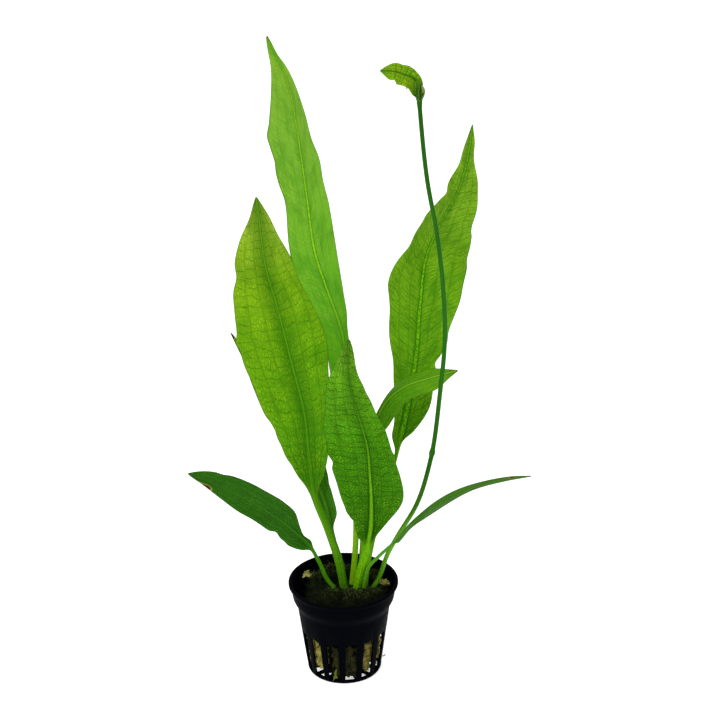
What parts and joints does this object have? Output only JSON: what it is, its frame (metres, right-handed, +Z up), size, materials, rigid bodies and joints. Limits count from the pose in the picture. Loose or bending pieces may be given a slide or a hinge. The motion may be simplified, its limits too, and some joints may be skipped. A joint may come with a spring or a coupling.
{
  "type": "potted amazon sword plant",
  "caption": "Rosette of long stalked lance-shaped leaves and one slender plantlet stalk growing from a mineral wool block in a slotted net pot.",
  "frame": {"origin": "centre of the flat disc under the pot", "axes": "+Z up, -Y to the front of the plant, +X to its right as seen from the front"},
  "size_m": [0.1642, 0.0765, 0.3147],
  "materials": {
    "pot_plastic": "injection-moulded black polypropylene, satin",
    "wool": "wet mineral wool grown over with dark algae and moss",
    "dry_wool": "torn pale wool, papery",
    "crown": "living rhizome, waxy",
    "leaf_young": "living leaf, light green with a bright midrib",
    "leaf_old": "living leaf, yellow-green with a dark net of veins",
    "leaf_dark": "living leaf, deep green and puckered, with a soft gloss",
    "stalk": "living stalk, smooth, deep green",
    "plantlet": "young leaf, yellow-green",
    "bract": "thin pale bract"
  },
  "bodies": {
    "root": {"pot": "pot_plastic", "wool_plug": "wool", "wool_scrap_1": "dry_wool", "wool_scrap_2": "dry_wool", "wool_scrap_3": "dry_wool", "wool_scrap_4": "dry_wool", "wool_scrap_5": "dry_wool", "wool_scrap_6": "dry_wool", "wool_scrap_7": "dry_wool", "wool_scrap_8": "dry_wool", "wool_scrap_9": "dry_wool", "crown": "crown", "leaf_tall": "leaf_young", "leaf_left": "leaf_old", "leaf_front": "leaf_dark", "leaf_right": "leaf_young", "leaf_arching": "leaf_dark", "leaf_low_left": "leaf_dark", "leaf_low_right": "leaf_dark", "leaf_behind": "leaf_old", "flower_stalk": "stalk", "plantlet_leaf": "plantlet", "plantlet_bract": "bract", "plantlet_bud": "plantlet"}
  },
  "joints": []
}
